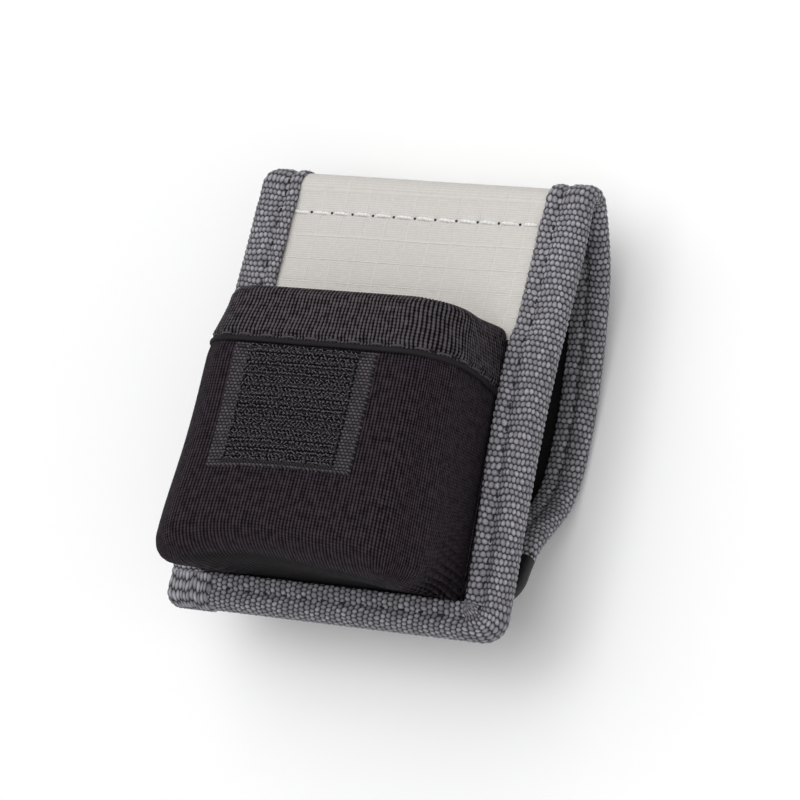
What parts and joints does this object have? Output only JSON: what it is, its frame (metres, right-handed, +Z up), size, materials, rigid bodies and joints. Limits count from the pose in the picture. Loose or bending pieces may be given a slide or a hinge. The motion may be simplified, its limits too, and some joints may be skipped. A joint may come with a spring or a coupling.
{
  "type": "battery pouch",
  "caption": "Belt-loop style battery pouch: stiffened bound panel, boxed stretch pocket with elastic mouth and hook patch, and a bound flap folded back in a loop.",
  "frame": {"origin": "below the middle of the whole object, on the surface that its folded-back flap lies on", "axes": "+X across to the right as seen from the pocket, +Y along the panel towards its crest, +Z up, out of the pocket's front"},
  "size_m": [0.062, 0.0772, 0.0427],
  "materials": {
    "ripstop": "matte",
    "outer_cloth": "matte",
    "stiffener": "matte",
    "binding": "matte",
    "stretch_cloth": "matte",
    "elastic": "matte",
    "patch_tape": "matte",
    "hooks": "satin",
    "end_tape": "matte"
  },
  "bodies": {
    "pouch": {"panel_lining": "ripstop", "panel_stiffener": "stiffener", "panel_outer": "outer_cloth", "panel_binding": "binding", "binding_end_lap": "binding", "pocket_shell": "stretch_cloth", "mouth_elastic": "elastic", "hook_patch_tape": "patch_tape", "hook_field": "hooks"},
    "crown": {"crown_lining": "ripstop", "crown_outer": "outer_cloth", "crown_binding_left": "binding", "crown_binding_right": "binding", "fold_lining": "ripstop", "fold_outer": "outer_cloth", "fold_binding_left": "binding", "fold_binding_right": "binding"},
    "ridge": {"ridge_lining": "ripstop", "ridge_outer": "outer_cloth", "ridge_binding_left": "binding", "ridge_binding_right": "binding"},
    "spine": {"spine_lining": "ripstop", "spine_outer": "outer_cloth", "spine_binding_left": "binding", "spine_binding_right": "binding"},
    "flap": {"flap_lining": "ripstop", "flap_outer": "outer_cloth", "flap_binding_left": "binding", "flap_binding_right": "binding"},
    "tip": {"tip_lining": "ripstop", "tip_outer": "outer_cloth", "tip_binding_left": "binding", "tip_binding_right": "binding", "end_tape": "end_tape"}
  },
  "joints": [
    {"name": "crown_hinge", "type": "hinge", "parent": "pouch", "child": "crown", "pos_m": [0, 0.03181, 0.01984], "axis": [1, 0, 0], "range_deg": [0, 90]},
    {"name": "fold_hinge", "type": "hinge", "parent": "crown", "child": "ridge", "pos_m": [0, 0.03627, 0.01753], "axis": [1, 0, 0], "range_deg": [0, 70], "deforming": ["fold_lining", "fold_outer", "fold_binding_left", "fold_binding_right"]},
    {"name": "ridge_hinge", "type": "hinge", "parent": "ridge", "child": "spine", "pos_m": [0, 0.03728, 0.01478], "axis": [1, 0, 0], "range_deg": [0, 70], "deforming": ["ridge_lining", "ridge_outer", "ridge_binding_left", "ridge_binding_right"]},
    {"name": "knee_hinge", "type": "hinge", "parent": "spine", "child": "flap", "pos_m": [0, 0.0247, 0.00457], "axis": [1, 0, 0], "range_deg": [0, 120]},
    {"name": "tip_hinge", "type": "hinge", "parent": "flap", "child": "tip", "pos_m": [0, -0.01097, 0.00073], "axis": [1, 0, 0], "range_deg": [0, 50]}
  ],
  "couplings": [
    {"joint": "crown_hinge", "follows": "knee_hinge", "ratio": 0.75},
    {"joint": "fold_hinge", "follows": "knee_hinge", "ratio": 0.5833},
    {"joint": "ridge_hinge", "follows": "knee_hinge", "ratio": 0.5833},
    {"joint": "tip_hinge", "follows": "knee_hinge", "ratio": 0.4166}
  ]
}
